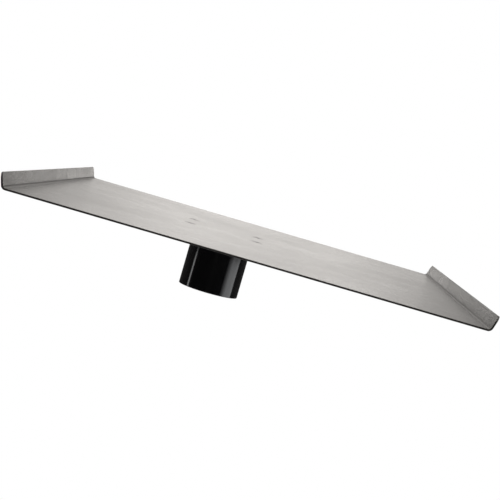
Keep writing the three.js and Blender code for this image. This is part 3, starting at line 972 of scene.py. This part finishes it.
def set_stage():
    """A pale floor, which glows where it is seen, straight on or in a mirror."""
    clear_selection()
    bpy.ops.mesh.primitive_plane_add(size=FLOOR_SIZE, location=(0, 0, FLOOR_LEVEL))
    floor = started("floor")
    material, tree, shader = new_material(
        "pale_floor", base_color=FLOOR_TINT, roughness=FLOOR_ROUGHNESS, specular_ior_level=0,
        emission_color=WHITE)
    rays = add_node(tree, "LightPath").outputs
    straight = calculated(tree, "ADD", rays["Is Camera Ray"], rays["Is Transmission Ray"])
    seen = calculated(tree, "ADD", straight, rays["Is Glossy Ray"])
    tree.links.new(calculated(tree, "MULTIPLY", seen, FLOOR_GLOW), shader.inputs["Emission Strength"])
    floor.data.materials.append(material)


set_camera()
set_world()
set_stage()
set_lamps()
bpy.context.scene.view_settings.view_transform = "Standard"

STEEL_TINTS = ((0.46, 0.46, 0.47), (0.54, 0.54, 0.55))
BRASS_TINTS = ((0.56, 0.39, 0.15), (0.66, 0.47, 0.20))
KNOB_TINTS = ((0.010, 0.010, 0.011), (0.015, 0.015, 0.016))
LOCK_CENTRE = (0, 0, -middle_of("knob_cap").z)
LOCK_TURN = (math.pi / 2, 0, 0)

steel = turned_metal("turned_steel", STEEL_TINTS, rough=0.28)
lock_steel = turned_metal("lock_steel", STEEL_TINTS, rough=0.3, centre=LOCK_CENTRE, turn=LOCK_TURN)
brass = turned_metal("turned_brass", BRASS_TINTS, rough=0.27, centre=LOCK_CENTRE, turn=LOCK_TURN)
flange_paint = plain_finish(
    "satin_paint", ((0.017, 0.017, 0.018), (0.024, 0.024, 0.025)), clouds=(25,),
    relief=(700,), depth=0.01 * MM, strength=0.6, roughness=0.42)
boss_gloss = plain_finish(
    "gloss_coat", ((0.007, 0.007, 0.008), (0.01, 0.01, 0.011)), clouds=(40,),
    relief=(300, 1), depth=0.003 * MM, dulls=(120, 3, 0.085, 0.1))
oxide = plain_finish(
    "black_oxide", ((0.015, 0.015, 0.017), (0.03, 0.03, 0.033)), clouds=(300, 3),
    relief=(2400,), depth=0.004 * MM, dulls=(700, 3, 0.3, 0.45), metallic=0.6)
zinc = plain_finish(
    "zinc_plate", ((0.53, 0.55, 0.59), (0.68, 0.69, 0.70)), clouds=(260, 3),
    relief=(1800,), depth=0.004 * MM, dulls=(500, 3, 0.24, 0.38), metallic=1.0)
white_nylon = plain_finish(
    "nylon", ((0.64, 0.61, 0.53), (0.72, 0.69, 0.61)), clouds=(60,),
    relief=(1500,), depth=0.01 * MM, roughness=0.48, subsurface_weight=0.15, subsurface_scale=1.5 * MM)
grained_plastic = plain_finish(
    "grained_plastic", KNOB_TINTS, clouds=(80,),
    relief=(1700, 3, 0.6), depth=0.02 * MM, strength=0.6, roughness=0.5)
smooth_plastic = plain_finish(
    "smooth_plastic", KNOB_TINTS, clouds=(80,),
    relief=(1700, 3, 0.6), depth=0.004 * MM, strength=0.6, roughness=0.32)

hand_over(make_tray(), ["tray"], "table", wrinkle_coat())
hand_over(make_flange(), ["flange_plate"], "table", flange_paint)
hand_over(make_boss(), ["boss_body"], "table", boss_gloss)
hand_over(make_bushing(), ["socket_bushing"], "table", steel)
hand_over(make_stop(), ["stop_pad"], "table", white_nylon)

boss_screw = make_screw("flange_to_boss_screw", BOSS_SCREW, BOSS_SCREW_PITCH, "boss_screw_1")
tray_screw = make_screw("tray_to_flange_screw", TRAY_SCREW, TRAY_SCREW_PITCH, "tray_screw_1")
washer = make_washer()
nut = make_nut()
nut_ring = make_nut_ring()
for i in range(1, SCREW_COUNT + 1):
    nut_top = top_of(f"tray_nut_{i}")
    for pattern, place, nodes, slot, finish in (
            (boss_screw, top_of(f"boss_screw_{i}"), [f"boss_screw_{i}"], "screw_black", oxide),
            (tray_screw, top_of(f"tray_screw_{i}"), [f"tray_screw_{i}"], "screw_black", oxide),
            (washer, bottom_of(f"tray_washer_{i}"), [f"tray_washer_{i}"], "zinc", zinc),
            (nut, nut_top, [f"tray_nut_{i}"], "zinc", zinc),
            (nut_ring, nut_top, [], "stop_nylon", white_nylon)):
        hand_over(copy_of(pattern, f"{pattern.name}_{i}", place), nodes, "table", finish)
for pattern in (boss_screw, tray_screw, washer, nut, nut_ring):
    bpy.data.objects.remove(pattern)

hand_over(make_insert(), ["lock_insert"], "table", lock_steel)
hand_over(make_pad(), ["thrust_pad"], "pad", brass)
hand_over(make_lock_screw(), ["lock_screw"], "knob", zinc)
hand_over(make_grip(), ["knob_grip"], "knob", grained_plastic)
hand_over(make_knob_insert(), ["knob_insert"], "knob", brass)
hand_over(make_cap(), ["knob_cap"], "knob", smooth_plastic)
